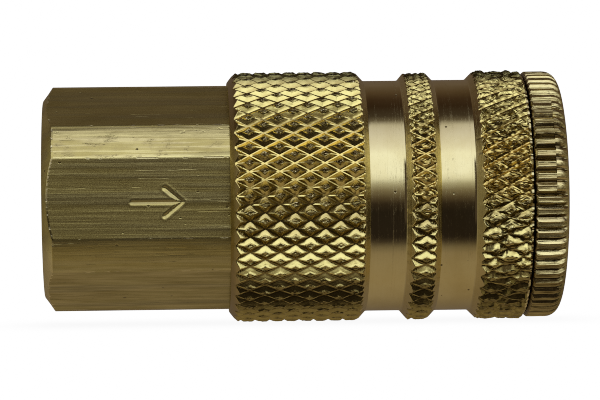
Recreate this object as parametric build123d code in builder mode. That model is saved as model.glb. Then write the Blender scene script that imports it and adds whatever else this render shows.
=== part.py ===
from build123d import *
import math
import os

# Quick disconnect coupler, 1/4 inch size, six-ball sleeve lock.
# Frame: millimetres, X along the coupler's axis with +X towards the plug mouth,
# origin at the centre of the hexagon's inlet end face, +Z up, and one hexagon flat
# facing -Y. "Rear" is the inlet end and "front" the plug mouth.
# In the names, _r is a radius, _x a place along the axis and _t a thickness.

# ---------------------------------------------------------------- dimensions
overall_length = 46.75
gap = 0.02                     # clearance between neighbouring pieces
fine_gap = 0.01                # clearance where one piece sits closely in or on another
pick_tolerance = 0.01          # slack for picking edges by place or radius

# inlet adapter (hexagon end)
hex_across_flats = 19.05
hex_corner_r = 10.165          # corners turned down to a cylinder
hex_end_r = 8.98               # radius where the end chamfer meets the end face
hex_end_chamfer = 0.97
adapter_length = 18.8
inlet_bore_r = 5.65            # mean size of a 1/4-18 taper pipe thread
inlet_depth = 11.0
inlet_mouth_chamfer = 0.35
web_front_x = 12.4
web_hole_r = 4.1
adapter_socket_r = 8.26        # holds the body's rear thread

# socket body
body_rear_x = web_front_x + 0.05
tail_r = 7.2
tail_front_x = 14.4
thread_r = 8.25
tube_shoulder_x = adapter_length + gap
tube_r = 8.44
head_rear_x = 43.6
head_r = 11.2
head_fillet = 1.2
mouth_chamfer = 0.6
plug_bore_r = 6.05
shoulder_front_x = 33.0
shoulder_rear_x = 32.2
shoulder_r = 5.0
gland_r = 6.4
gland_rear_x = 28.9
bushing_bore_r = 6.5
bushing_rear_x = 25.4
chamber_r = 6.7

# locking balls
ball_count = 6
ball_pitch = 360 / ball_count  # degrees
ball_r = 1.5875
ball_x = 38.0
ball_rest_r = 6.75             # distance of a ball's centre from the axis, locked
ball_seat_r = 1.605
track_r = 6.3                  # shallow ball-track relief in the plug bore
track_half = 1.7

# release sleeve
sleeve_rear_x = 16.77
sleeve_front_x = 43.5
sleeve_r = 11.36
rear_groove_r = 10.48
front_groove_r = 10.5
skirt_r = 10.25
spring_shoulder_x = 27.8
land_r = 8.54
land_front_x = 38.4
pocket_r = 9.3

# sleeve spring and its thrust washer
sleeve_spring_wire = 1.0
sleeve_spring_r = 9.35
sleeve_spring_coils = 3.6
thrust_washer_t = 0.6
thrust_washer_r = skirt_r - 0.09
thrust_washer_hole_r = tube_r + 0.1

# valve seat bushing
bushing_r = bushing_bore_r - fine_gap
bushing_rim_r = 5.35           # inner edge of the rear face
lip_rear_x = 25.25
lip_outer_r = 5.15
lip_inner_r = 4.75
recess_r = 4.65                # recess inside the lip
recess_front_x = 25.9

# valve poppet
poppet_tube_r = 3.97
poppet_bore_r = 2.9
poppet_bore_rear_x = 24.6
poppet_cone_x = 24.1           # tip of the cone that ends the bore
poppet_flange_r = 5.5
poppet_boss_r = 4.2
poppet_rear_x = 21.2
poppet_flange_rear_x = 22.6
poppet_flange_front_x = 24.0
port_d = 2.2
port_x = 27.2
port_overrun = 1.0             # length of the port cut beyond the tube

# valve spring
valve_spring_wire = 0.9
valve_spring_r = 4.8
valve_spring_coils = 6.0

# seals
plug_seal_x = 30.24
plug_seal_r = 5.1
plug_seal_tube = 1.29
seal_washer_hole_r = 4.2
seal_washer_t = 0.62
valve_seal_r = 5.4
valve_seal_t = 1.18
valve_seal_chamfer = 0.12
retainer_rear_x = 25.2
retainer_r = 4.5
retainer_t = 0.4
body_ring_r = 7.73
body_ring_tube = 0.5


# ---------------------------------------------------------------- shared shapes
def turned(outline):
    """Solid of revolution about X; the outline's points are (x, radius)."""
    with BuildPart() as piece:
        with BuildSketch(Plane.XY):
            with BuildLine():
                Polyline(*outline, close=True)
            make_face()
        revolve(axis=Axis.X)
    return piece.part


def washer(rear_x, thickness, outer_r, hole_r):
    """Flat ring that reaches forward from rear_x."""
    with BuildPart() as piece:
        with BuildSketch(Plane.YZ.offset(rear_x)):
            Circle(outer_r)
            Circle(hole_r, mode=Mode.SUBTRACT)
        extrude(amount=thickness)
    return piece.part


def o_ring(centre_x, ring_r, tube_r):
    """Round-section ring about X."""
    with BuildPart() as piece:
        with BuildSketch(Plane.XY):
            with Locations((centre_x, ring_r)):
                Circle(tube_r)
        revolve(axis=Axis.X)
    return piece.part


def coil_spring(rear_x, front_x, wire, mean_r, coils):
    """Open-ended coil; its path stops half a wire inside rear_x and front_x."""
    height = front_x - rear_x - wire
    with BuildPart() as piece:
        with BuildLine() as coil:
            Helix(
                pitch=height / coils,
                height=height,
                radius=mean_r,
                center=(rear_x + wire / 2, 0, 0),
                direction=(1, 0, 0),
            )
        with BuildSketch(Plane(origin=coil.line @ 0, z_dir=coil.line % 0)):
            Circle(wire / 2)
        sweep(path=coil.line, is_frenet=True)
    return piece.part


def ball_centre(i):
    """Centre of ball i; the first lies half a pitch from +Y towards +Z."""
    angle = math.radians((i + 0.5) * ball_pitch)
    return (ball_x, ball_rest_r * math.cos(angle), ball_rest_r * math.sin(angle))


# ---------------------------------------------------------------- pieces
def inlet_adapter():
    """Hexagon bar with turned corners. The pipe thread is a plain bore of its mean radius."""
    with BuildPart() as piece:
        with BuildSketch(Plane.YZ):
            RegularPolygon(
                radius=hex_across_flats / 2, side_count=6, major_radius=False, rotation=30
            )
        extrude(amount=adapter_length)
        with BuildSketch(Plane.XY):
            with BuildLine():
                Polyline(
                    (0, inlet_bore_r + inlet_mouth_chamfer),
                    (0, hex_end_r),
                    (hex_end_chamfer, hex_corner_r),
                    (adapter_length, hex_corner_r),
                    (adapter_length, adapter_socket_r),
                    (web_front_x, adapter_socket_r),
                    (web_front_x, web_hole_r),
                    (inlet_depth, web_hole_r),
                    (inlet_depth, inlet_bore_r),
                    (inlet_mouth_chamfer, inlet_bore_r),
                    close=True,
                )
            make_face()
        revolve(axis=Axis.X, mode=Mode.INTERSECT)
    return piece.part


def socket_body():
    """Rear tail, sleeve tube and the head that stops the sleeve, turned in one piece."""
    with BuildPart() as piece:
        with BuildSketch(Plane.XY):
            with BuildLine():
                Polyline(
                    # outside, rear to front
                    (body_rear_x, chamber_r),
                    (body_rear_x, tail_r),
                    (tail_front_x, tail_r),
                    (tail_front_x, thread_r),
                    (tube_shoulder_x, thread_r),
                    (tube_shoulder_x, tube_r),
                    (head_rear_x, tube_r),
                    (head_rear_x, head_r),
                    (overall_length, head_r),
                    # inside, front to rear
                    (overall_length, plug_bore_r + mouth_chamfer),
                    (overall_length - mouth_chamfer, plug_bore_r),
                    (ball_x + track_half, plug_bore_r),
                    (ball_x + track_half, track_r),
                    (ball_x - track_half, track_r),
                    (ball_x - track_half, plug_bore_r),
                    (shoulder_front_x, plug_bore_r),
                    (shoulder_front_x, shoulder_r),
                    (shoulder_rear_x, shoulder_r),
                    (shoulder_rear_x, gland_r),
                    (gland_rear_x, gland_r),
                    (gland_rear_x, bushing_bore_r),
                    (bushing_rear_x, bushing_bore_r),
                    (bushing_rear_x, chamber_r),
                    close=True,
                )
            make_face()
        revolve(axis=Axis.X)

        front_rim = (
            piece.edges()
            .filter_by(GeomType.CIRCLE)
            .filter_by(
                lambda e: abs(e.radius - head_r) < 1e-4
                and e.center().X > overall_length - pick_tolerance
            )
        )
        fillet(front_rim, radius=head_fillet)

        # Ball holes, rounded at the bottom so that the balls can't fall into the bore.
        for i in range(ball_count):
            x, y, z = ball_centre(i)
            with BuildSketch(Plane(origin=(x, y, z), z_dir=(0, y, z))):
                Circle(ball_seat_r)
            extrude(amount=tube_r, mode=Mode.SUBTRACT)
            with Locations((x, y, z)):
                Sphere(ball_seat_r, mode=Mode.SUBTRACT)
    return piece.part


def release_sleeve():
    """Sleeve with three full-diameter grip bands and two turned grooves between them."""
    return turned([
        # rounded rear end
        (sleeve_rear_x, skirt_r), (sleeve_rear_x, 10.45), (17.2, 10.98), (17.65, sleeve_r),
        # rear groove
        (28.28, sleeve_r), (29.15, rear_groove_r), (32.25, rear_groove_r), (33.06, sleeve_r),
        # front groove
        (34.58, sleeve_r), (35.45, front_groove_r), (38.46, front_groove_r), (39.37, sleeve_r),
        # front end
        (43.38, sleeve_r), (sleeve_front_x, 11.24),
        # pocket that the balls drop into when the sleeve is pulled back
        (sleeve_front_x, pocket_r),
        # 45 degree cone down to the locking land
        (land_front_x + pocket_r - land_r, pocket_r), (land_front_x, land_r),
        # skirt over the spring and the hexagon's corners
        (spring_shoulder_x, land_r), (spring_shoulder_x, skirt_r),
    ])


def lock_ball(i):
    with BuildPart() as piece:
        with Locations(ball_centre(i)):
            Sphere(ball_r)
    return piece.part


def sleeve_spring():
    return coil_spring(
        rear_x=adapter_length + gap,
        front_x=spring_shoulder_x - thrust_washer_t - 2 * gap,
        wire=sleeve_spring_wire,
        mean_r=sleeve_spring_r,
        coils=sleeve_spring_coils,
    )


def sleeve_thrust_washer():
    """Loose washer between the spring and the sleeve, so that the sleeve turns freely."""
    rear_x = spring_shoulder_x - thrust_washer_t - gap
    return washer(rear_x, thrust_washer_t, thrust_washer_r, thrust_washer_hole_r)


def seal_washer():
    """Washer between the plug seal and the body's inner shoulder."""
    rear_x = shoulder_rear_x - fine_gap - seal_washer_t
    return washer(rear_x, seal_washer_t, gland_r - gap, seal_washer_hole_r)


def valve_seat_bushing():
    """Pressed into the body. Its raised rear lip is the valve's seat, and its bore
    guides the poppet tube and the plug's nose."""
    rear_x = bushing_rear_x + gap
    front_x = gland_rear_x - gap
    guide_r = poppet_tube_r + 0.06
    return turned([
        (rear_x, bushing_rim_r),
        (rear_x, bushing_r),
        (front_x, bushing_r),
        (front_x, guide_r),
        (recess_front_x, guide_r),
        (recess_front_x, recess_r),
        (lip_rear_x, lip_inner_r),
        (lip_rear_x, lip_outer_r),
    ])


def valve_poppet():
    """Closed rear boss and flange, with a forward tube that the plug's nose pushes."""
    with BuildPart() as piece:
        with BuildSketch(Plane.XY):
            with BuildLine():
                Polyline(
                    (poppet_rear_x, 0),
                    (poppet_rear_x, poppet_boss_r),
                    (poppet_flange_rear_x, poppet_boss_r),
                    (poppet_flange_rear_x, poppet_flange_r),
                    (poppet_flange_front_x, poppet_flange_r),
                    (poppet_flange_front_x, poppet_tube_r),
                    (gland_rear_x, poppet_tube_r),
                    (gland_rear_x, poppet_bore_r),
                    (poppet_bore_rear_x, poppet_bore_r),
                    (poppet_cone_x, 0),
                    close=True,
                )
            make_face()
        revolve(axis=Axis.X)
        # Two cross holes make four ports that let air into the tube once the seal has
        # left its seat.
        for port_axis in ((0, 0, 1), (0, 1, 0)):
            with BuildSketch(Plane(origin=(port_x, 0, 0), x_dir=(1, 0, 0), z_dir=port_axis)):
                Circle(port_d / 2)
            extrude(amount=poppet_tube_r + port_overrun, both=True, mode=Mode.SUBTRACT)
    return piece.part


def valve_seal():
    """Flat seal on the front of the poppet's flange, its outer front edge chamfered."""
    rear_x = poppet_flange_front_x + fine_gap
    front_x = rear_x + valve_seal_t
    with BuildPart() as piece:
        with BuildSketch(Plane.YZ.offset(rear_x)):
            Circle(valve_seal_r)
            Circle(poppet_tube_r + fine_gap, mode=Mode.SUBTRACT)
        extrude(amount=valve_seal_t)
        outer_front_edge = piece.edges().filter_by(
            lambda e: e.center().X > front_x - pick_tolerance
            and e.radius > valve_seal_r - pick_tolerance
        )
        chamfer(outer_front_edge, length=valve_seal_chamfer)
    return piece.part


def valve_seal_retainer():
    """Ring on the poppet tube, in front of the valve seal."""
    return washer(retainer_rear_x, retainer_t, retainer_r, poppet_tube_r + fine_gap)


def valve_spring():
    """Spring between the adapter's web and the poppet's flange."""
    return coil_spring(
        rear_x=web_front_x + gap,
        front_x=poppet_flange_rear_x - gap,
        wire=valve_spring_wire,
        mean_r=valve_spring_r,
        coils=valve_spring_coils,
    )


def body_o_ring():
    """Ring around the body's tail, midway between the web and the thread."""
    return o_ring((web_front_x + tail_front_x) / 2, body_ring_r, body_ring_tube)


# ---------------------------------------------------------------- export
pieces = {
    "inlet_adapter": inlet_adapter(),
    "socket_body": socket_body(),
    "release_sleeve": release_sleeve(),
    **{f"lock_ball_{i + 1}": lock_ball(i) for i in range(ball_count)},
    "sleeve_spring": sleeve_spring(),
    "sleeve_thrust_washer": sleeve_thrust_washer(),
    "plug_seal": o_ring(plug_seal_x, plug_seal_r, plug_seal_tube),
    "seal_washer": seal_washer(),
    "valve_seat_bushing": valve_seat_bushing(),
    "valve_poppet": valve_poppet(),
    "valve_seal": valve_seal(),
    "valve_seal_retainer": valve_seal_retainer(),
    "valve_spring": valve_spring(),
    "body_o_ring": body_o_ring(),
}

os.makedirs("parts", exist_ok=True)
for name, part in pieces.items():
    part.label = name
    export_step(part, f"parts/{name}.step")
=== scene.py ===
"""Quick disconnect coupler, a brass socket lying along the X axis.

The hex inlet adapter is at the -X end (rear) and the fluted head at the +X end (front). The camera
looks from -Y. Pieces are drawn in mm and scaled to metres; shaders and staging use metres.
"""

import math
from types import SimpleNamespace

import bpy
import numpy as np
from mathutils import Matrix, Vector


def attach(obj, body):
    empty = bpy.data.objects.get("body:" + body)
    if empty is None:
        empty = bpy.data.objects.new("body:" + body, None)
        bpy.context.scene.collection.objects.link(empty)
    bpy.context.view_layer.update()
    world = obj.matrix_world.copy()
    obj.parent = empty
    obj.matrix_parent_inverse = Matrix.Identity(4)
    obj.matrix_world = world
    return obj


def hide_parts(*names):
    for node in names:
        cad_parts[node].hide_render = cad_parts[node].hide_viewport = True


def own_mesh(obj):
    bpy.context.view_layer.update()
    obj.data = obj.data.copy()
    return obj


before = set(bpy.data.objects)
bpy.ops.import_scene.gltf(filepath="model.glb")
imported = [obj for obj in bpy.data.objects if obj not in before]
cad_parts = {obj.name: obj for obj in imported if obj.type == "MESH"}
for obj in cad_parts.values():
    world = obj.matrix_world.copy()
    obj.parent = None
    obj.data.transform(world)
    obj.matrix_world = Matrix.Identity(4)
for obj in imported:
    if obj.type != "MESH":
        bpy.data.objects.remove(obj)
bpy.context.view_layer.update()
TAU = 2 * math.pi
MM = 0.001

# ------------------------------------------------------------------ mesh helpers


def angles(count, phase=0.0):
    return phase + np.arange(count) * TAU / count


def link_object(name, mesh):
    obj = bpy.data.objects.new(name, mesh)
    bpy.context.scene.collection.objects.link(obj)
    return obj


def smooth_all(mesh):
    mesh.polygons.foreach_set("use_smooth", np.ones(len(mesh.polygons), bool))


class Mesher:
    """Rings around the X axis, joined in order. A ring is (first vertex, count)."""

    def __init__(self):
        self.points, self.faces, self.slots, self.count = [], [], [], 0
        self.attrs = {}

    def ring(self, x, r, theta, **attrs):
        theta = np.asarray(theta, float)
        x = np.broadcast_to(np.asarray(x, float), theta.shape)
        return self.add_points(np.stack([x, r * np.cos(theta), r * np.sin(theta)], 1), **attrs)

    def add_points(self, points, **attrs):
        """Adds vertices; an attribute that isn't given is 0 on them."""
        start, count = self.count, len(points)
        self.points.append(points)
        self.count += count
        for key in {**self.attrs, **attrs}:
            before = self.attrs.setdefault(key, np.zeros(start))
            value = np.broadcast_to(np.asarray(attrs.get(key, 0.0), float), (count,))
            self.attrs[key] = np.concatenate([before, value])
        return start, count

    def face(self, corners, slot=0):
        self.faces.append(corners)
        self.slots.append(slot)

    def join(self, a, b, slot=0):
        """Quads between equal rings, or triangles when one ring is a multiple of the other."""
        if a[1] != b[1]:
            self.join_uneven(a, b, slot)
            return
        (start_a, n), (start_b, _) = a, b
        i = np.arange(n)
        j = (i + 1) % n
        self.faces += np.stack([start_a + i, start_b + i, start_b + j, start_a + j], 1).tolist()
        self.slots += [slot] * n

    def join_split(self, a, b, slots, split):
        """Triangles between equal rings: a slot and a choice of diagonal for every cell."""
        (start_a, n), (start_b, _) = a, b
        i = np.arange(n)
        j = (i + 1) % n
        quads = np.stack([start_a + i, start_b + i, start_b + j, start_a + j], 1)
        split = split[:, None]
        self.faces += np.where(split, quads[:, [0, 1, 2]], quads[:, [0, 1, 3]]).tolist()
        self.faces += np.where(split, quads[:, [0, 2, 3]], quads[:, [1, 2, 3]]).tolist()
        self.slots += list(slots) * 2

    def join_uneven(self, a, b, slot):
        fine_first = a[1] > b[1]
        (fine, n_fine), (coarse, n_coarse) = (a, b) if fine_first else (b, a)
        ratio = n_fine // n_coarse
        half = ratio // 2
        turn = 1 if fine_first else -1
        for c in range(n_coarse):
            c0, c1 = coarse + c, coarse + (c + 1) % n_coarse
            for m in range(ratio):
                f0, f1 = fine + c * ratio + m, fine + (c * ratio + m + 1) % n_fine
                self.face([f0, c0 if m < half else c1, f1][::turn], slot)
                if m == half - 1:
                    self.face([f1, c0, c1][::turn], slot)

    def stitch(self, a, angles_a, b, angles_b, slot):
        """Joins two rings of any counts by walking round both."""
        (start_a, n_a), (start_b, n_b) = a, b
        angles_a, angles_b = np.unwrap(angles_a), np.unwrap(angles_b)
        done = 1e9
        next_a = [*angles_a[1:], angles_a[0] + TAU, done]
        next_b = [*angles_b[1:], angles_b[0] + TAU, done]
        i = j = 0
        while i < n_a or j < n_b:
            edge = [start_a + i % n_a, start_b + j % n_b]
            if next_a[i] <= next_b[j]:
                i += 1
                self.face([*edge, start_a + i % n_a], slot)
            else:
                j += 1
                self.face([*edge, start_b + j % n_b], slot)

    def cap(self, ring, centre, flip=False):
        """A fan from the ring to a centre point."""
        start, n = ring
        c = self.add_points(np.array([centre], float))[0]
        for i in range(n):
            fan = [start + i, c, start + (i + 1) % n]
            self.face(fan[::-1] if flip else fan)

    def build(self, name, materials, sharp_angle=30.0):
        co = np.concatenate(self.points) * MM
        faces = self.faces
        # outward normals from the signed volume
        fans = [[f[0], f[k], f[k + 1]] for f in faces for k in range(1, len(f) - 1)]
        p = co[np.array(fans)]
        if np.einsum("ij,ij->i", p[:, 0], np.cross(p[:, 1], p[:, 2])).sum() < 0:
            faces = [f[::-1] for f in faces]
        mesh = bpy.data.meshes.new(name)
        mesh.from_pydata(co.tolist(), [], faces)
        for material in materials:
            mesh.materials.append(material)
        mesh.polygons.foreach_set("material_index", np.array(self.slots, np.int32))
        smooth_all(mesh)
        for key, values in self.attrs.items():
            layer = mesh.attributes.new(key, "FLOAT", "POINT")
            layer.data.foreach_set("value", values.astype(np.float32))
        mesh.update()
        mesh.set_sharp_from_angle(angle=math.radians(sharp_angle))
        return link_object(name, mesh)


def lathe(name, profile, materials, n=128, sharp_angle=30.0):
    """A turned piece from a closed profile of (x, r); points with r = 0 close it on the axis."""
    m = Mesher()
    theta = angles(n)
    rings = [None if r <= 1e-9 else m.ring(x, r, theta) for x, r in profile]
    for i, a in enumerate(rings):
        following = (i + 1) % len(profile)
        b = rings[following]
        if a and b:
            m.join(a, b)
        elif b:
            m.cap(b, (profile[i][0], 0, 0), flip=True)
        elif a:
            m.cap(a, (profile[following][0], 0, 0))
    return m.build(name, materials, sharp_angle)


def rounded(corners, steps=4):
    """A closed outline of (x, r) from corners of (x, r, corner radius)."""
    points = [np.array(c[:2], float) for c in corners]
    out, n = [], len(points)
    for i, (p, (_, _, radius)) in enumerate(zip(points, corners)):
        if radius <= 0:
            out.append(tuple(p))
            continue
        a = points[i - 1] - p
        b = points[(i + 1) % n] - p
        len_a, len_b = np.linalg.norm(a), np.linalg.norm(b)
        a, b = a / len_a, b / len_b
        half = math.acos(max(-1, min(1, float(a @ b)))) / 2
        reach = min(radius / math.tan(half), 0.49 * len_a, 0.49 * len_b)
        fitted = reach * math.tan(half)
        centre = p + (a + b) / np.linalg.norm(a + b) * fitted / math.sin(half)
        start = math.atan2(*(p + a * reach - centre)[::-1])
        end = math.atan2(*(p + b * reach - centre)[::-1])
        sweep = (end - start + math.pi) % TAU - math.pi
        for k in range(steps + 1):
            t = start + sweep * k / steps
            x, r = centre[0] + fitted * math.cos(t), centre[1] + fitted * math.sin(t)
            out.append((float(x), float(r)))
    return out


def boolean_cut(obj, cutters):
    """Cuts the cutters out of obj for good and removes them."""
    for cutter in cutters:
        mod = obj.modifiers.new("cut", "BOOLEAN")
        mod.operation = "DIFFERENCE"
        mod.solver = "EXACT"
        mod.object = cutter
    bpy.context.view_layer.update()
    depsgraph = bpy.context.evaluated_depsgraph_get()
    mesh = bpy.data.meshes.new_from_object(obj.evaluated_get(depsgraph))
    obj.modifiers.clear()
    old = obj.data
    obj.data = mesh
    mesh.name = obj.name
    bpy.data.meshes.remove(old)
    for cutter in cutters:
        bpy.data.objects.remove(cutter)
    smooth_all(mesh)
    mesh.set_sharp_from_angle(angle=math.radians(30))
    return obj


def register(obj, carrier, node):
    """Tells the frame what carries the piece and which CAD node it replaces."""
    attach(obj, carrier)
    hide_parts(node)
    return obj


# ------------------------------------------------------------------ shader helpers


class Nodes:
    """The node tree of a material or a world."""

    def __init__(self, owner, output="ShaderNodeOutputMaterial"):
        owner.use_nodes = True
        self.owner, self.tree = owner, owner.node_tree
        self.tree.nodes.clear()
        self.out = self.tree.nodes.new(output)

    def connect(self, socket, value):
        if isinstance(value, bpy.types.NodeSocket):
            self.tree.links.new(value, socket)
        else:
            socket.default_value = value

    def node(self, kind, *values, props=None, **named):
        """A node: values fill its first inputs in order, named ones go by input name."""
        new = self.tree.nodes.new("ShaderNode" + kind)
        for key, value in (props or {}).items():
            setattr(new, key, value)
        for socket, value in zip(new.inputs, values):
            self.connect(socket, value)
        for key, value in named.items():
            self.connect(new.inputs[key.replace("_", " ")], value)
        return new

    def finish(self, shader):
        self.connect(self.out.inputs[0], shader.outputs[0])
        return self.owner

    def principled(self, **inputs):
        return self.finish(self.node("BsdfPrincipled", **inputs))

    def math(self, operation, a, b=0.0, clamp=False):
        props = {"operation": operation, "use_clamp": clamp}
        return self.node("Math", a, b, 0.0, props=props).outputs[0]

    def times(self, value, *factors):
        for factor in factors:
            value = self.math("MULTIPLY", value, factor)
        return value

    def plus(self, value, *terms, clamp=False):
        for term in terms:
            value = self.math("ADD", value, term, clamp)
        return value

    def minus(self, a, b):
        return self.math("SUBTRACT", a, b)

    def swing(self, value, amount):
        """A 0..1 value turned into a swing about 0."""
        return self.times(self.minus(value, 0.5), amount)

    def span(self, value, over, to=(0.0, 1.0), kind="LINEAR"):
        """Maps the range `over`, which may run downwards, to the range `to`, clamped."""
        props = {"clamp": True, "interpolation_type": kind}
        return self.node("MapRange", value, *over, *to, props=props).outputs[0]

    def ease(self, value, over):
        return self.span(value, over, kind="SMOOTHSTEP")

    def mix(self, mask, base, top, amount=None, blend="MIX"):
        """Lays top over base where the mask is 1, weakened by amount. Tuples are RGB."""
        if amount is not None:
            mask = self.times(mask, amount)
        props = {"data_type": "RGBA", "blend_type": blend, "clamp_factor": True}
        new = self.node("Mix", mask, props=props)
        for index, value in ((6, base), (7, top)):
            self.connect(new.inputs[index], (*value, 1) if isinstance(value, tuple) else value)
        return new.outputs[2]

    def shade(self, mask, base, tint, amount=None):
        """Multiplies base by tint where the mask is 1."""
        return self.mix(mask, base, self.mix(1.0, base, tint, blend="MULTIPLY"), amount)

    def coords(self, kind="Object"):
        return self.node("TexCoord").outputs[kind]

    def split(self, vector):
        return self.node("SeparateXYZ", Vector=vector).outputs

    def around(self, per_mm):
        """Coordinates (along X, arc at 10 mm radius, radius), each scaled per mm."""
        along, arc, out = per_mm
        x, y, z = self.split(self.coords())
        theta = self.math("ARCTAN2", z, self.times(y, -1.0))
        r = self.math("SQRT", self.plus(self.times(y, y), self.times(z, z)))
        scaled = (
            self.times(x, 1000.0 * along),
            self.times(theta, 10.0 * arc),
            self.times(r, 1000.0 * out),
        )
        return self.node("CombineXYZ", *scaled).outputs[0]

    def texture(self, vector, scale, detail, rough):
        named = dict(Vector=vector, Scale=scale, Detail=detail, Roughness=rough)
        return self.node("TexNoise", **named).outputs[0]

    def noise(self, per_mm, detail=3.0, rough=0.5):
        """Noise that follows the turning; per_mm as in around()."""
        return self.texture(self.around(per_mm), 1.0, detail, rough)

    def plain_noise(self, per_mm, rough=0.6):
        """Noise that is alike in every direction."""
        mapping = self.node("Mapping", Vector=self.coords(), Scale=(1000.0, 1000.0, 1000.0))
        return self.texture(mapping.outputs[0], per_mm, 3.0, rough)

    def pits(self, spots_per_mm, spot_over, patches_per_mm, patch_over):
        """Small round pits that come in patches."""
        spots = self.node("TexVoronoi", Vector=self.around(spots_per_mm), Scale=1.0)
        patches = self.noise(patches_per_mm, detail=2.0)
        spot = self.span(spots.outputs["Distance"], over=spot_over)
        return self.times(spot, self.span(patches, over=patch_over))

    def bumps(self, *layers, strength=1.0):
        """Bump layers of (height, depth in mm), each on top of the one before."""
        normal = None
        for height, depth in layers:
            bump = self.node("Bump", Strength=strength, Distance=depth * MM, Height=height)
            if normal is not None:
                self.connect(bump.inputs["Normal"], normal)
            normal = bump.outputs[0]
        return normal

    def invert(self, value):
        return self.minus(1.0, value)

    def attribute(self, name):
        return self.node("Attribute", props={"attribute_name": name}).outputs["Fac"]

    def bounced(self):
        """1 for light that has bounced at least once."""
        return self.math("GREATER_THAN", self.node("LightPath").outputs["Ray Depth"], 0.5)


def scaled(color, *factors):
    return tuple(c * f for c, f in zip(color, factors))


def new_material(name):
    return Nodes(bpy.data.materials.new(name))


# ------------------------------------------------------------------ materials


def brass_turned(name, color, rough, spread=0.26, lines=1.6, pits=0.5):
    """Lathe-turned brass. spread: roughness of the streaks, lines and pits: strength of each."""
    k = new_material(name)
    fine = k.noise(per_mm=(13.0, 0.05, 13.0), rough=0.65)
    mid = k.noise(per_mm=(2.6, 0.03, 2.6), detail=4.0, rough=0.7)
    grain = k.noise(per_mm=(9.0, 2.2, 9.0), rough=0.65)
    pit = k.pits(
        spots_per_mm=(0.75, 0.75, 0.75), spot_over=(0.085, 0.05),
        patches_per_mm=(0.45, 0.45, 0.45), patch_over=(0.49, 0.55),
    )
    pit = k.times(pit, pits)
    cloud = k.noise(per_mm=(0.25, 0.18, 0.25), detail=4.0, rough=0.6)
    dark = scaled(color, 0.86, 0.82, 0.72)
    pit_color = (0.10, 0.07, 0.03)
    c = k.mix(k.span(cloud, over=(0.4, 0.7)), color, dark)
    c = k.mix(k.span(fine, over=(0.5, 0.75)), c, dark, amount=0.25)
    c = k.mix(pit, c, pit_color, amount=0.85)
    streak = k.times(k.span(fine, over=(0.45, 0.68)), k.span(mid, over=(0.42, 0.60)))
    r = k.plus(rough, k.times(streak, spread))
    r = k.plus(r, k.times(k.span(grain, over=(0.52, 0.70)), spread * 0.6), clamp=True)
    n = k.bumps((fine, 0.0020 * lines), (mid, 0.004 * lines), (grain, 0.0016), (k.invert(pit), 0.03))
    return k.principled(Base_Color=c, Metallic=1.0, Roughness=r, Normal=n)


def brass_knurl(name):
    """Knurled brass: clean flanks, worn crests, painted shade between the teeth and on bounced light."""
    k = new_material(name)
    color = (0.97, 0.89, 0.37)
    dark = scaled(color, 0.60, 0.52, 0.40)
    gold_color = (0.95, 0.72, 0.22)
    crest_low, crest_high = (0.09, 0.055, 0.02), (1.0, 0.95, 0.66)
    soil_color = (0.15, 0.10, 0.04)
    bounce_shade_tint, lighter_bounce_tint = scaled((0.42,) * 3, 1.0, 0.86, 0.70), (0.86, 0.76, 0.62)
    bottom_shade_tint, top_shade_tint = (0.50, 0.48, 0.46), (0.36, 0.38, 0.40)
    amber_tint, tarnish_tint = (1.0, 0.76, 0.40), (0.40, 0.36, 0.30)

    fine = k.noise(per_mm=(5.0, 5.0, 5.0), detail=4.0, rough=0.65)
    broad = k.noise(per_mm=(1.6, 1.6, 1.6), rough=0.6)
    worn_noise = k.noise(per_mm=(5.5, 7.5, 5.5), detail=2.0)
    tarnish = k.noise(per_mm=(2.6, 3.4, 2.6), rough=0.6)
    crest = k.attribute("crest")
    gold = k.attribute("gold")
    c = k.mix(k.span(broad, over=(0.45, 0.75)), color, dark, amount=0.5)
    c = k.mix(gold, c, gold_color, amount=0.25)
    worn = k.mix(k.span(worn_noise, over=(0.60, 0.66)), crest_low, crest_high)
    c = k.mix(crest, c, worn, amount=0.88)
    # painted shade on the lower side's groove floors and at the sleeve's front edge
    c = k.mix(k.attribute("soil"), c, soil_color, amount=0.72)
    # painted shade: light that has bounced once comes back browner and weaker
    bounced = k.bounced()
    x, _, z = k.split(k.coords())
    # painted light: on the wide rear band the bounced light is shaded less above and below its middle
    lighter_top = k.times(k.ease(z, over=(0.0036, 0.0046)), k.ease(z, over=(0.0086, 0.0076)))
    lighter_low = k.times(k.ease(z, over=(-0.0006, -0.0016)), k.ease(z, over=(-0.0066, -0.0056)))
    lighter_zones = k.math("MAXIMUM", lighter_top, lighter_low)
    lighter_zones = k.times(lighter_zones, k.span(x, over=(0.0290, 0.0286)))
    c = k.shade(bounced, c, k.mix(lighter_zones, bounce_shade_tint, lighter_bounce_tint))
    # painted shade: darker towards the bottom
    c = k.shade(k.ease(z, over=(-0.0060, -0.0086)), c, bottom_shade_tint, amount=0.9)
    # painted shade: darker along the very top
    c = k.shade(k.ease(z, over=(0.0100, 0.0109)), c, top_shade_tint)
    # painted warm shade over the heights around and just above the axis, stronger on the double-rolled
    # bands; those bands also carry more tarnish on everything but the cleanest flanks
    tone = k.attribute("tone")
    amber = k.times(k.ease(z, over=(-0.0015, 0.0010)), k.ease(z, over=(0.0062, 0.0040)))
    amber_amount = k.plus(0.14, k.times(tone, 0.30))
    c = k.shade(k.times(amber, amber_amount), c, amber_tint)
    c = k.shade(k.times(tone, k.span(tarnish, over=(0.45, 0.53))), c, tarnish_tint)
    base_rough, fine_rough, crest_rough = 0.12, 0.11, 0.10
    r = k.plus(base_rough, k.times(fine, fine_rough), k.times(crest, crest_rough))
    n = k.bumps((fine, 0.005), (broad, 0.012), (k.times(worn_noise, crest), 0.10))
    return k.principled(Base_Color=c, Metallic=1.0, Roughness=r, Normal=n)


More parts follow.
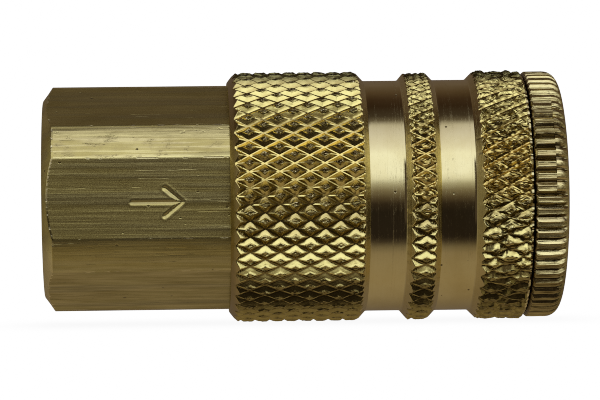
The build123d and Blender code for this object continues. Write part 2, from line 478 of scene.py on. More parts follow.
def brass_flutes(name):
    """Rolled flutes of the head: streaked lands and painted shade in the groove bottoms."""
    k = new_material(name)
    color = (0.96, 0.88, 0.46)
    dark = scaled(color, 0.66, 0.60, 0.50)
    land_dark, land_bright = (0.36, 0.29, 0.115), (0.86, 0.77, 0.38)
    groove_shade_color = (0.115, 0.075, 0.028)
    bottom_shade_tint, bounce_tint = (0.56, 0.54, 0.50), (0.5, 0.43, 0.35)

    streak = k.noise(per_mm=(0.55, 9.0, 9.0), rough=0.6)
    broad = k.noise(per_mm=(0.9, 1.6, 1.6), rough=0.6)
    grain = k.noise(per_mm=(6.0, 6.0, 6.0), rough=0.6)
    land = k.attribute("crest")
    groove = k.attribute("gold")
    c = k.mix(k.span(broad, over=(0.45, 0.7)), color, dark, amount=0.5)
    c = k.mix(land, c, k.mix(k.span(streak, over=(0.42, 0.62)), land_dark, land_bright))
    # painted shade in the groove bottoms and on one wall, wider near the top, at the rear edge and growing
    # round the rim
    c = k.mix(groove, c, groove_shade_color)
    z = k.split(k.coords())[2]
    # painted shade: darker towards the bottom
    c = k.shade(k.ease(z, over=(-0.0056, -0.0076)), c, bottom_shade_tint, amount=0.9)
    # painted shade: light that has bounced comes back darker and browner
    c = k.shade(k.bounced(), c, bounce_tint)
    base_rough, grain_rough = 0.13, 0.10
    r = k.plus(base_rough, k.times(grain, grain_rough))
    r = k.plus(r, k.times(land, k.span(streak, over=(0.35, 0.65), to=(0.40, 0.16))))
    n = k.bumps((streak, 0.022), (grain, 0.005))
    return k.principled(Base_Color=c, Metallic=1.0, Roughness=r, Normal=n)


def brass_drawn(name):
    """Drawn bar with lines along X, for the hex adapter."""
    k = new_material(name)
    color = (0.74, 0.67, 0.28)
    dark = scaled(color, 0.70, 0.66, 0.55)
    band_color = scaled(color, 0.70, 0.71, 0.86)
    blotch_shade_color = scaled(color, 0.74, 0.71, 0.80)
    pit_color, burr_color = (0.12, 0.09, 0.04), (0.085, 0.060, 0.022)
    lower_shade_tint, low_patch_color = (0.77, 0.80, 0.92), (0.95, 0.88, 0.52)
    chamfer_highlight_color, lit_color = (1.0, 0.93, 0.52), (0.95, 0.83, 0.48)
    wear_color, shine_color, edge_highlight_color = (0.98, 0.92, 0.58), (1.0, 0.93, 0.50), (1.0, 0.93, 0.44)

    lines = k.noise(per_mm=(0.10, 9.0, 9.0), detail=4.0, rough=0.7)
    wide_lines = k.noise(per_mm=(0.03, 2.4, 2.4), rough=0.6)
    bands = k.noise(per_mm=(0.045, 0.9, 0.9), detail=2.0)
    grain = k.noise(per_mm=(2.2, 5.0, 5.0), rough=0.6)
    cloud = k.noise(per_mm=(0.16, 0.3, 0.3), detail=4.0, rough=0.6)
    pit = k.pits(
        spots_per_mm=(0.55, 0.8, 0.8), spot_over=(0.09, 0.05),
        patches_per_mm=(0.35, 0.35, 0.35), patch_over=(0.45, 0.51),
    )
    scratch = k.span(k.noise(per_mm=(0.16, 3.4, 3.4), detail=2.0), over=(0.665, 0.70))
    c = k.mix(k.span(cloud, over=(0.35, 0.7)), color, dark)
    c = k.mix(k.span(wide_lines, over=(0.4, 0.7)), c, dark, amount=0.35)
    c = k.mix(k.ease(bands, over=(0.50, 0.62)), c, band_color, amount=0.55)
    c = k.mix(pit, c, pit_color, amount=0.8)
    z = k.split(k.coords())[2]
    # painted shade: darker and bluer towards the bottom
    lower = k.ease(z, over=(-0.0052, -0.0064))
    c = k.shade(lower, c, lower_shade_tint)
    # brighter noisy patches over the lower part
    low_patches = k.noise(per_mm=(0.14, 2.2, 2.2), detail=4.0, rough=0.65)
    low_patches = k.times(lower, k.span(low_patches, over=(0.44, 0.62)))
    c = k.mix(low_patches, c, low_patch_color, amount=0.40)
    # painted highlight on the rear end chamfer, fading out towards the bottom
    chamfer_highlight = k.times(k.attribute("cone"), k.ease(z, over=(-0.0030, -0.0055)))
    c = k.mix(chamfer_highlight, c, chamfer_highlight_color, amount=0.95)
    # painted shade below the end of the chamfer on the flat facing -Y, and a painted highlight above it
    c = k.mix(k.attribute("burr"), c, burr_color, amount=0.88)
    lit = k.times(k.attribute("lit"), k.span(grain, over=(0.40, 0.52)))
    c = k.mix(lit, c, lit_color)
    # handling marks: short bright nicks along the edges
    nick = k.noise(per_mm=(1.1, 2.5, 2.5), detail=2.0)
    wear = k.times(k.attribute("edge"), k.span(nick, over=(0.56, 0.62)))
    c = k.mix(wear, c, wear_color, amount=0.9)
    base_rough, line_rough, cloud_rough, shine_smooth = 0.27, 0.24, 0.2, 0.10
    r = k.plus(base_rough, k.swing(lines, line_rough))
    r = k.plus(r, k.swing(cloud, cloud_rough), clamp=True)
    corner = k.attribute("corner")
    # painted sheen on the turned corners, stronger on the upper ones; it also lowers the roughness
    shine = k.noise(per_mm=(0.09, 4.2, 4.2), rough=0.6)
    shine = k.times(corner, k.span(shine, over=(0.50, 0.60)))
    c = k.mix(shine, c, shine_color, amount=0.62)
    r = k.minus(r, k.times(shine, shine_smooth))
    # on the turned corners: a painted highlight band near the upper edge, a painted highlight line on the
    # lower one, and painted shade in blotches between
    high_line = k.times(k.ease(z, over=(0.00520, 0.00550)), k.ease(z, over=(0.00635, 0.00605)))
    low_line_z = 0.00366
    low_line = k.span(k.math("ABSOLUTE", k.minus(z, low_line_z)), over=(0.00013, 0.00004))
    highlight_breaks = k.span(k.noise(per_mm=(0.5, 3.0, 3.0), rough=0.6), over=(0.34, 0.56))
    edge_highlight = k.times(k.math("MAXIMUM", high_line, low_line), k.times(corner, highlight_breaks))
    blot = k.noise(per_mm=(0.75, 1.5, 1.5), detail=4.0, rough=0.65)
    below_line = k.ease(z, over=(0.0058, 0.0052))
    blotch_shade = k.times(corner, k.span(blot, over=(0.47, 0.60)), below_line)
    c = k.mix(blotch_shade, c, blotch_shade_color, amount=0.5)
    c = k.mix(edge_highlight, c, edge_highlight_color, amount=0.80)
    dent = k.times(corner, k.span(blot, over=(0.60, 0.66)))
    n = k.bumps(
        (lines, 0.0085), (wide_lines, 0.026), (bands, 0.05), (grain, 0.0015),
        (k.invert(scratch), 0.012), (k.invert(pit), 0.03), (k.invert(wear), 0.02),
        (k.invert(dent), 0.014),
    )
    base_metal, lit_loss = 0.86, 0.6
    metal = k.minus(base_metal, k.times(lit, lit_loss))
    return k.principled(Base_Color=c, Metallic=metal, Roughness=r, Normal=n)


def steel(name, rough, along, arc, color=(0.56, 0.56, 0.57)):
    """Bright steel; along and arc are the brushing noise per mm."""
    k = new_material(name)
    brushing = k.noise(per_mm=(along, arc, along), detail=4.0, rough=0.6)
    cloud = k.plain_noise(per_mm=0.4)
    c = k.mix(k.span(cloud, over=(0.35, 0.7)), color, scaled(color, 0.78, 0.78, 0.78))
    r = k.plus(rough, k.swing(brushing, amount=0.12), clamp=True)
    return k.principled(Base_Color=c, Metallic=1.0, Roughness=r, Normal=k.bumps((brushing, 0.002)))


def rubber(name):
    k = new_material(name)
    fine = k.plain_noise(per_mm=9.0)
    broad = k.plain_noise(per_mm=1.2)
    c = k.mix(broad, (0.012, 0.012, 0.013), (0.035, 0.035, 0.036))
    base_rough, broad_rough = 0.42, 0.2
    r = k.plus(base_rough, k.times(broad, broad_rough))
    n = k.bumps((fine, 0.01), strength=0.7)
    return k.principled(Base_Color=c, Metallic=0.0, Roughness=r, Normal=n)


TURNED = brass_turned("brass_turned", (0.86, 0.80, 0.47), rough=0.035, spread=0.28, pits=1.0)
CHAMFER = brass_turned("brass_chamfer", (0.76, 0.68, 0.36), rough=0.17)
# a darker copy of the chamfer finish: painted shade on the rear chamfer
CHAMFER_REAR_SHADED = brass_turned("brass_chamfer_rear_shaded", (0.54, 0.45, 0.22), rough=0.17)
KNURL = brass_knurl("brass_knurl")
HEAD = brass_flutes("brass_head_flutes")
DRAWN = brass_drawn("brass_drawn")
INNER = brass_turned("brass_inner", (0.76, 0.64, 0.34), rough=0.14, lines=1.4, pits=0.4)
WIRE = steel("wire_steel", rough=0.24, along=4.0, arc=0.5)
WASHER = steel("washer_steel", rough=0.32, along=3.0, arc=3.0)
BALL = steel("ball_steel", rough=0.07, along=1.0, arc=1.0, color=(0.62, 0.62, 0.63))
RUBBER = rubber("nitrile_rubber")

# ------------------------------------------------------------------ release sleeve

DIAMONDS = 47                       # knurl diamonds around
STEPS = 14                          # grid steps per diamond
COLUMNS = DIAMONDS * STEPS
KNURL_PITCH = 2.66                  # axial pitch of one knurl track
ROW_STEP = KNURL_PITCH / STEPS
ROW_0_X = 17.12                     # x of lattice row 0
SLEEVE_R = 11.36
RISE = 0.0915                       # height gained per grid step away from a groove
CREST = 0.40                        # height at which the crests are cut off
ROOT_R = SLEEVE_R - CREST
SLEEVE_FRONT_X = 43.50
COLUMN = np.arange(COLUMNS)
KNURL_PHASE = TAU / DIAMONDS / 2
THETA = angles(COLUMNS, KNURL_PHASE)

# turned outline before knurling: (x, r)
SLEEVE_OUTLINE = [
    (16.77, 10.45), (17.16, 10.96), (17.62, 11.36), (28.30, 11.36), (29.13, 10.48),
    (32.27, 10.48), (33.04, 11.36), (34.60, 11.36), (35.43, 10.50), (38.48, 10.50),
    (39.35, 11.36), (43.36, 11.36), (43.50, 11.22),
]
# the two plain grooves between the knurled bands: (x, r)
REAR_GROOVE = [
    (29.03, 10.575), (29.11, 10.505), (29.24, 10.48), (29.36, 10.48),
    (32.05, 10.48), (32.14, 10.48), (32.28, 10.505), (32.37, 10.58),
]
FRONT_GROOVE = [
    (35.33, 10.595), (35.41, 10.525), (35.54, 10.50), (35.66, 10.50),
    (38.26, 10.50), (38.35, 10.50), (38.49, 10.525), (38.58, 10.60),
]
# inside, from the front to the rear: (x, r)
SLEEVE_BORE = [
    (43.50, 9.42), (43.40, 9.32), (43.30, 9.30), (39.16, 9.30), (38.46, 8.60),
    (38.36, 8.54), (28.0, 8.54), (27.86, 8.60), (27.80, 8.70), (27.80, 10.15),
    (27.74, 10.22), (27.66, 10.25), (17.0, 10.25), (16.86, 10.27), (16.78, 10.32),
]

# weights around the sleeve
UPPER = np.clip(0.5 + 0.9 * (np.sin(THETA) - 0.10), 0, 1)      # 1 where rolled twice
LOWER = np.clip(0.5 - 1.8 * (np.sin(THETA) + 0.20), 0, 1)      # 1 well below the axis
MIDDLE = (np.clip((np.sin(THETA) + 0.10) / 0.15, 0, 1)
          * np.clip((0.68 - np.sin(THETA)) / 0.15, 0, 1))      # 1 from the axis to well above it

# The narrow bands were rolled twice. In grid steps: shift of the first rolling, lag_u and lag_v of
# the second behind it, wave along the tracks. sway: share of the wave the first rolling takes.
# In mm: base height of the second rolling, faint lift of the first one's v tracks, roughness.
MIDDLE_BAND = SimpleNamespace(
    shift=2,
    lag_u=6.5 + 1.2 * np.sin(THETA + 0.6),
    lag_v=7.5 + 1.2 * np.sin(THETA + 2.0),
    wave=0.6, sway=0.0,
    base=0.36 - 0.34 * UPPER, faint=0.0, rough=0.012,
    tone=0.15 + 0.50 * UPPER,
)
FRONT_BAND = SimpleNamespace(
    shift=5,
    lag_u=6.0 + 2.5 * np.sin(THETA * 2 + 1.9),
    lag_v=8.5 + 3.0 * np.sin(THETA * 3 + 4.0),
    wave=1.8, sway=0.8,
    base=0.34 - 0.30 * UPPER, faint=0.22 * UPPER, rough=0.050,
    tone=0.35 + 0.55 * UPPER,
)


def sleeve_outline(x):
    return np.interp(x, *zip(*SLEEVE_OUTLINE))


def groove_distance(track, offset):
    """Grid steps to the middle of the nearest groove."""
    return np.abs((track + offset + STEPS / 2) % STEPS - STEPS / 2)


def flank(d):
    """Height at d grid steps from the middle of a groove."""
    return np.interp(d, [0.5, 7.5], [0.0, RISE * 7.0])


def lower_flank(d):
    """The same, with the groove wider away from the lower side."""
    low = 0.062
    wide = np.interp(d, [0.5, 1.5, 2.5, 7.5], [0.0, low, low + RISE, low + RISE * 6.0])
    return flank(d) * LOWER + wide * (1 - LOWER)


def single_rolled(u, v, rng):
    """Height, crest mask and groove distances of one row of the wide rear band."""
    du, dv = groove_distance(u, 0.5), groove_distance(v, 0.5)
    h = np.minimum(lower_flank(du), flank(dv))
    crest = np.clip((h - (CREST - 0.09)) / 0.06, 0, 1)
    h = np.minimum(h, CREST)
    top = h > CREST - 0.02
    h = h + np.where(top, rng.uniform(-0.11, 0.02, COLUMNS), rng.uniform(-0.003, 0.003, COLUMNS))
    near = (crest > 0) & ~top
    h = h + np.where(near, rng.uniform(-0.035, 0.035, COLUMNS), 0)
    return h, crest, du, dv


def double_rolled(u, v, row, band, rng):
    """The same for a narrow band."""
    wave = band.wave * np.sin(row * 0.55 + THETA * 9.0)
    sway = band.sway * LOWER * wave
    du = groove_distance(u, 0.5 + band.shift + sway)
    dv = groove_distance(v, 0.5 - band.shift - sway)
    du2 = groove_distance(u, 0.5 + band.shift + band.lag_u + wave)
    dv2 = groove_distance(v, 0.5 - band.shift + band.lag_v - wave)
    first = np.minimum(lower_flank(du), flank(dv) + band.faint)
    second = np.minimum(flank(du2), flank(dv2)) + band.base
    h = np.minimum(first, second)
    limit = np.minimum(CREST, band.base + 0.30)
    top = h > limit - 0.03
    crest = np.clip((h - (limit - 0.13)) / 0.08, 0, 1)
    h = np.minimum(h, CREST)
    rough = 0.014 + band.rough * MIDDLE
    worn = rng.uniform(-0.07, 0.01, COLUMNS)
    h = h + np.where(top, worn, rng.uniform(-1, 1, COLUMNS) * rough * (0.5 + crest))
    return h, crest, du, dv


def knurl_row(row, band, rng):
    """Height above the groove floor, crest, gold and painted shade masks and the two groove distances."""
    u, v = COLUMN + row, COLUMN - row
    if band:
        h, crest, du, dv = double_rolled(u, v, row, band, rng)
    else:
        h, crest, du, dv = single_rolled(u, v, rng)
    gold = np.clip(1 - (du - 0.5) / 2.2, 0, 1)
    # painted shade: the groove floors on the lower side are darkened
    soil = np.clip(1 - (np.minimum(du, dv) - 0.5) / 1.0, 0, 1) * LOWER
    return h, crest * (1 - 0.65 * LOWER), gold, soil, du, dv


def lattice_rows(m, band, x_from, x_to, rng):
    """Knurled rings of one band, three times as dense on the chamfers."""
    rows = []
    third = math.ceil((x_from - ROW_0_X) / ROW_STEP * 3)
    while (x := ROW_0_X + third * ROW_STEP / 3) <= x_to + 1e-9:
        row = third / 3
        third += 1
        if row % 1 and min(sleeve_outline([x - ROW_STEP, x + ROW_STEP])) > SLEEVE_R - 0.01:
            continue
        h, crest, gold, soil, du, dv = knurl_row(row, band, rng)
        outline = sleeve_outline(x)
        r = np.minimum(ROOT_R + h, outline)
        on_chamfer = (ROOT_R + h > outline - 0.004) & (outline <= SLEEVE_R - 0.01)
        knurled = ~on_chamfer
        ring = m.ring(
            x, r, THETA,
            crest=crest * knurled,
            depth=np.clip((SLEEVE_R - r) / CREST, 0, 1) * knurled,
            gold=gold * (1 - LOWER),
            tone=band.tone if band else 0.0,
            soil=soil * knurled,
        )
        rows.append((x, ring, (on_chamfer, du, dv)))
    return rows


def knurl_limit(x_from, x_to):
    """x where the outline meets the knurl's root."""
    xs = np.linspace(x_from, x_to, 2001)
    return float(xs[np.argmin(np.abs(sleeve_outline(xs) - (ROOT_R - 0.01)))])


def join_sleeve_rows(m, rows):
    """Skins the outside; slots: 0 knurl, 1 chamfer, 2 turned, 4 rear chamfer in painted shade."""
    # plain rings that belong to a chamfer: a range for the rear ring's x or the front ring's x
    rear_in = ((0, 17.6), (32.3, 33.1), (38.5, 39.4))
    front_in = ((28.3, 29.12), (34.6, 35.4))
    right = (COLUMN + 1) % COLUMNS
    for (x0, a, masks0), (x1, b, masks1) in zip(rows, rows[1:]):
        chamfer_slot = 4 if x0 < 18 else 1
        if masks0 and masks1:
            cut0, du0, dv0 = masks0
            cut1, du1, dv1 = masks1
            # across a cell u is equal on one diagonal and v on the other: split along the groove
            u_mean = (du0 + du1[right] + du0[right] + du1) / 4
            v_mean = (dv0 + dv1[right] + dv0[right] + dv1) / 4
            cut = (cut0 & cut1) | (cut0 & cut1[right]) | (cut0[right] & cut1)
            m.join_split(a, b, np.where(cut, chamfer_slot, 0), v_mean < u_mean)
        else:
            chamfer = any(lo < x0 < hi for lo, hi in rear_in)
            chamfer = chamfer or any(lo < x1 < hi for lo, hi in front_in)
            m.join(a, b, chamfer_slot if chamfer else 2)


def make_sleeve():
    m = Mesher()
    rng = np.random.default_rng(7)

    def plain(points):
        return [(x, m.ring(x, r, THETA), None) for x, r in points]

    rows = plain([(16.77, 10.42), (16.80, 10.48)])
    # (band, x from, x to, plain groove in front of it)
    stretches = (
        (None, knurl_limit(16.8, 17.4), knurl_limit(28.6, 29.2), REAR_GROOVE),
        (MIDDLE_BAND, knurl_limit(32.2, 32.9), knurl_limit(34.8, 35.5), FRONT_GROOVE),
        (FRONT_BAND, knurl_limit(38.5, 39.1), 43.24, []),
    )
    for band, x_from, x_to, groove in stretches:
        rows += lattice_rows(m, band, x_from, x_to, rng)
        rows += plain(groove)
    # the front edge: the knurl runs out over a small chamfer
    x = 43.32
    h, _, _, _, du, dv = knurl_row(round((x - ROW_0_X) / ROW_STEP), FRONT_BAND, rng)
    # painted shade darkens the last two rings, where the sleeve meets the head
    ring = m.ring(x, np.minimum(ROOT_R + h, 11.24), THETA, depth=0.2, soil=0.55)
    rows.append((x, ring, (np.zeros(COLUMNS, bool), du, dv)))
    x = SLEEVE_FRONT_X
    ring = m.ring(x, np.minimum(ROOT_R + h, 10.98), THETA, depth=0.3, soil=1.3)
    rows.append((x, ring, None))
    join_sleeve_rows(m, rows)
    # the bore is coarser than the outside
    theta = angles(COLUMNS // 7, KNURL_PHASE)
    previous = rows[-1][1]
    for x, r in SLEEVE_BORE:
        ring = m.ring(x, r, theta)
        m.join(previous, ring, 3 if 17 < x < 43.2 else 2)
        previous = ring
    m.join(previous, rows[0][1], 2)
    materials = [KNURL, CHAMFER, TURNED, INNER, CHAMFER_REAR_SHADED]
    return m.build("release_sleeve_knurled", materials, sharp_angle=13)


register(make_sleeve(), "sleeve", "release_sleeve")

# ------------------------------------------------------------------ socket body

BALLS_X, BALLS_R = 38.0, 6.75       # place and radius of the circle of ball centres
BALL_R = 1.5875
BALL_HOLE_R = 1.605
BALL_ANGLES = [math.radians(30 + 60 * i) for i in range(6)]

FLUTES = 66
HEAD_R = 11.2
FRONT_X, RIM_R = 46.75, 1.2         # front face, and the rounding of its rim
FLUTE_WIDTH = 1.0664
# one flute, from groove bottom to groove bottom: (mm round the rim, mm of height)
FLUTE = [
    (0.000, -0.300), (0.018, -0.292), (0.042, -0.270), (0.120, -0.190), (0.200, -0.110),
    (0.258, -0.052), (0.292, -0.018), (0.318, 0.000), (0.345, -0.006), (0.378, -0.032),
    (0.450, -0.042), (0.530, -0.038), (0.610, -0.030), (0.680, -0.014), (0.725, 0.000),
    (0.755, -0.014), (0.785, -0.044), (0.860, -0.120), (0.940, -0.200), (1.018, -0.275),
    (1.048, -0.293),
]
FLUTE_PHASES = [u / FLUTE_WIDTH for u, _ in FLUTE]
FLUTE_HEIGHTS = [h for _, h in FLUTE]
HEAD_COLUMNS = FLUTES * len(FLUTE)
# rings of the head behind the lap: (x, drop of the crests, painted shade at the rear edge)
HEAD_RINGS = [
    (43.60, 0.36, 1.0), (43.70, 0.26, 1.0), (43.82, 0.10, 0.35), (43.92, 0.01, 0.0),
    (44.3, 0.0, 0.0), (44.7, 0.0, 0.0), (45.2, 0.0, 0.0), (45.50, 0.0, 0.0),
]
# front face, mouth, bore and the outside of the barrel: (x, r, corner radius)
BODY_PROFILE = [
    (FRONT_X, 9.85, 0), (FRONT_X, 6.68, 0.08), (FRONT_X - 0.62, 6.05, 0.08),
    (39.75, 6.05, 0.05), (39.62, 6.30, 0.05), (36.38, 6.30, 0.05), (36.25, 6.05, 0.05),
    (33.0, 6.05, 0.08), (33.0, 5.0, 0.08), (32.2, 5.0, 0.08), (32.2, 6.4, 0.04),
    (28.9, 6.4, 0.04), (28.9, 6.5, 0.03), (25.4, 6.5, 0.03), (25.4, 6.7, 0.04),
    (12.45, 6.7, 0.06), (12.45, 7.2, 0.08), (14.4, 7.2, 0.06), (14.4, 8.25, 0.08),
    (18.82, 8.25, 0.03), (18.82, 8.44, 0.05), (43.6, 8.44, 0.08), (43.6, 10.9, 0),
]


def flute_rows(m):
    """The fluted outside of the head, from the rear to the front face."""
    rng = np.random.default_rng(11)
    pitch = TAU / FLUTES
    phase = np.tile(FLUTE_PHASES, FLUTES)
    tooth = np.arange(HEAD_COLUMNS) // len(FLUTE)
    base = (tooth + phase) * pitch + 0.0035

    def per_tooth(low, high):
        return rng.uniform(low, high, FLUTES)[tooth]

    def ripple(size):
        return rng.normal(0, size, HEAD_COLUMNS)

    deep = per_tooth(0.88, 1.12)
    land_offset = np.where((phase > 0.30) & (phase < 0.70), per_tooth(-0.022, 0.012), 0.0)
    height = np.tile(FLUTE_HEIGHTS, FLUTES) * deep + land_offset
    theta = base + per_tooth(-0.04, 0.04) * pitch * np.sin(math.pi * phase)
    theta = theta + pitch * 0.008 * ripple(1) * (phase > 0.1)
    # where the roll overlapped itself the pattern steps sideways near the front
    z = np.sin(base)
    lap = np.clip((z + 0.05) / 0.12, 0, 1) * np.clip((0.80 - z) / 0.1, 0, 1)
    keys, values = [*FLUTE_PHASES, 1.0], [*FLUTE_HEIGHTS, FLUTE_HEIGHTS[0]]
    shifted = np.interp((phase + 0.16) % 1.0, keys, values) * deep * 0.9
    front_height = np.where(lap > 0.5, np.minimum(shifted, 0.42 * height), height * 0.97)

    # masks over the flute's phase: land, painted shade in the groove bottoms, painted shade on one wall,
    # wider painted shade in the grooves near the top
    top = np.clip((z - 0.60) / 0.12, 0, 1)
    land = np.interp(phase, [0.0, 0.31, 0.37, 0.60, 0.66, 1.0], [0.0, 0.0, 1.0, 1.0, 0.0, 0.0])
    land = land * (1 - 0.7 * top)
    groove_shade = np.interp(phase, [0.0, 0.015, 0.05, 0.95, 0.985, 1.0], [0.9, 0.7, 0.0, 0.0, 0.7, 0.9])
    shade = np.interp(phase, [0.0, 0.70, 0.75, 1.0], [0.0, 0.0, 0.80, 0.80])
    shade = shade * np.clip((0.62 - z) / 0.10, 0, 1)
    wide = np.interp(phase, [0.0, 0.06, 0.11, 0.88, 0.93, 1.0], [0.95, 0.85, 0.0, 0.0, 0.85, 0.95])
    groove_shade = np.maximum(groove_shade, np.maximum(shade, wide * top))

    rows = []
    for x, drop, edge in HEAD_RINGS:
        h = np.minimum(height + ripple(0.004), -drop)
        gold = np.maximum(groove_shade, edge)
        rows.append(m.ring(x, HEAD_R + h, theta, crest=land * (1 - edge), gold=gold))
    lap_r = HEAD_R + (front_height + ripple(0.004))
    rows.append(m.ring(45.54, lap_r, theta, crest=land, gold=groove_shade))
    # the flutes follow the rounded rim and die out just short of the front face
    for k in range(13):
        a = math.pi / 2 * k / 12
        fade = max(0.0, min(1.0, (math.radians(70) - a) / math.radians(24)))
        radius = RIM_R + np.minimum(front_height + ripple(0.003), 0) * fade
        x = FRONT_X - RIM_R + radius * math.sin(a)
        r = HEAD_R - RIM_R + radius * math.cos(a)
        # painted shade grows as the rim turns towards the front face
        gold = np.maximum(groove_shade * fade, 0.28 * min(1.0, a / math.radians(60)))
        rows.append(m.ring(x, r, theta, crest=land * fade, gold=gold))
    return rows


def ball_hole_cutter(i, angle):
    """A round-bottomed plug that points away from the axis."""
    hole_top = 9.0
    profile = []
    for k in range(9):
        t = math.pi / 2 * k / 8
        profile.append((BALLS_R - BALL_HOLE_R * math.cos(t), BALL_HOLE_R * math.sin(t)))
    profile += [(hole_top, BALL_HOLE_R), (hole_top, 0.0)]
    cutter = lathe(f"cut_{i}", profile, [], n=48)
    # the lathe's X axis becomes the ball hole's radial direction
    out = Vector((0, math.cos(angle), math.sin(angle)))
    along = Vector((1, 0, 0))
    turn = Matrix((out, along, out.cross(along))).transposed().to_4x4()
    turn.translation = (BALLS_X * MM, 0, 0)
    cutter.matrix_world = turn
    return cutter


def make_body():
    m = Mesher()
    rows = flute_rows(m)
    for a, b in zip(rows, rows[1:]):
        m.join(a, b, 0)
    theta = angles(HEAD_COLUMNS // 6)
    previous = rows[-1]
    for x, r in rounded(BODY_PROFILE, steps=2):
        ring = m.ring(x, r, theta)
        m.join(previous, ring, 1)
        previous = ring
    m.join(previous, rows[0], 1)
    body = m.build("socket_body_knurled_head", [HEAD, TURNED], sharp_angle=26)
    cutters = [ball_hole_cutter(i, angle) for i, angle in enumerate(BALL_ANGLES)]
    bpy.context.view_layer.update()
    return boolean_cut(body, cutters)


register(make_body(), "socket", "socket_body")

# ------------------------------------------------------------------ inlet adapter

FLAT_R, CORNER_R = 9.525, 10.165    # from the axis to a flat and to a turned corner
FLAT_HALF = math.acos(FLAT_R / CORNER_R)
SIXTH = TAU / 6
REAR_X, ADAPTER_FRONT_X = 0.10, 18.8
REAR_R = 8.93                       # outer radius of the rear end face
THREAD_PITCH = 1.411
THREAD_TAPER = 32.0                 # mm along the axis per mm of radius
ARROW_X, ARROW_Z = 10.3, -0.35
# strokes of the stamped flow arrow around its centre: (x, z) to (x, z)
ARROW = [((-2.2, 0.0), (2.2, 0.0)), ((0.7, 1.25), (2.2, 0.0)), ((0.7, -1.25), (2.2, 0.0))]
# socket in the front end, then the web: (x, r)
ADAPTER_BORE = [
    (18.72, 8.30), (18.6, 8.26), (12.55, 8.26), (12.42, 8.22), (12.4, 8.1), (12.4, 4.3),
    (12.3, 4.12), (12.2, 4.1), (11.15, 4.1), (11.05, 4.15), (11.0, 4.3), (11.0, 5.5),
]


def arrow_depth(x, z):
    """Depth of the stamped flow arrow at (x, z) on the flat that faces -Y."""
    px, pz = x - ARROW_X, z - ARROW_Z
    nearest = np.full(np.shape(z), 9.0)
    for (ax, az), (bx, bz) in ARROW:
        vx, vz = bx - ax, bz - az
        t = np.clip(((px - ax) * vx + (pz - az) * vz) / (vx * vx + vz * vz), 0, 1)
        nearest = np.minimum(nearest, np.hypot(px - ax - t * vx, pz - az - t * vz))
    half_width, depth, lip_height = 0.24, 0.13, 0.014
    groove = depth * np.clip(1 - nearest / half_width, 0, 1)
    lip = -lip_height * np.exp(-(((nearest - half_width - 0.10) / 0.09) ** 2))
    return groove + lip


def hex_angles():
    """Angles round the hexagon, and 1 for each that is on a turned corner."""
    # points per flat and per corner: finer near the flat that faces -Y, which is flat 3
    flat_points = {2: 49, 3: 97, 4: 49}
    corner_points = {2: 33, 3: 33}
    theta, on_corner = [], []
    for f in range(6):
        flat = np.linspace(-FLAT_HALF, FLAT_HALF, flat_points.get(f, 17))
        corner = np.linspace(FLAT_HALF, SIXTH - FLAT_HALF, corner_points.get(f, 9))[1:-1]
        theta += [*(f * TAU / 6 + flat), *(f * TAU / 6 + corner)]
        on_corner += [0] * len(flat) + [1] * len(corner)
    return np.array(theta), np.array(on_corner)


def hex_rows(m, theta, on_corner):
    """The outside, from the rear end face to the front one."""
    local = theta - np.round(theta / SIXTH) * SIXTH
    r_hex = np.minimum(FLAT_R / np.cos(local), CORNER_R)
    z = r_hex * np.sin(theta)
    arrow_flat = np.abs(theta - math.pi) <= FLAT_HALF + 1e-9
    # 1 on the edges between the flats and the turned corners
    edge = np.clip(1 - np.abs(np.abs(local) - FLAT_HALF) * FLAT_R / 0.06, 0, 1)
    # weights for the turned corners' painted sheen, highlights and shade: full above the axis, a quarter
    # below
    corner = np.where(on_corner == 1, np.where(z > 0, 1.0, 0.25), 0.0)
    # the turned end chamfer stops at a fine burr; on the flat facing -Y it gets painted shade below, where
    # the light misses it, and a painted highlight above
    burr = arrow_flat * np.clip(0.5 - z / 3.0, 0.0, 1.0)
    lit = arrow_flat * np.clip(0.4 + z / 3.0, 0.0, 1.0)
    x_end = REAR_X + (r_hex - REAR_R) / (CORNER_R - REAR_R) * 0.94
    x_half = REAR_X + (x_end - REAR_X) * 0.5 + 0.015
    rows = [
        m.ring(REAR_X, REAR_R - 0.10, theta, cone=1.0),
        m.ring(REAR_X + 0.03, REAR_R, theta, cone=1.0),
        m.ring(x_half, REAR_R + (r_hex - REAR_R) * 0.5, theta, cone=1.0),
        m.ring(x_end - 0.07, r_hex - 0.035, theta, cone=1.0),
        m.ring(x_end, r_hex + 0.004, theta, edge=1.0, burr=burr, lit=lit),
        m.ring(x_end + 0.05, r_hex, theta, edge=1.0, burr=burr, lit=lit),
        m.ring(x_end + 0.15, r_hex, theta, edge=edge),
    ]
    stations = [1.2, 1.6, 2.4, 3.4, 4.4, 5.4, 6.4, 7.2]
    stations += list(np.arange(7.6, 13.2, 0.075))
    stations += [13.6, 14.4, 15.4, 16.4, 17.4, 18.4, 18.7]
    for x in stations:
        r = np.where(arrow_flat, (FLAT_R - arrow_depth(x, z)) / np.cos(local), r_hex)
        rows.append(m.ring(x, r, theta, edge=edge, corner=corner))
    rows.append(m.ring(ADAPTER_FRONT_X, r_hex - 0.08, theta, edge=1.0))
    return rows


def thread_radius(x, theta):
    """Radius of the tapered female thread, with its countersink at the mouth."""
    minor, major = 5.68 - x / THREAD_TAPER, 6.81 - x / THREAD_TAPER
    phase = (x / THREAD_PITCH - (theta - theta[0]) / TAU) % 1.0
    crest = 1 - np.abs(2 * phase - 1)
    crest = np.clip((crest - 0.10) / 0.78, 0, 1)
    runout = np.clip((10.2 - x) / 1.6, 0, 1)      # the thread runs out at the bottom
    r = minor + (major - minor) * (1 - crest) * runout
    sink_r, sink_end = 7.0, 1.35
    return np.maximum(r, min(sink_r - (x - REAR_X), sink_r)) if x < sink_end else r


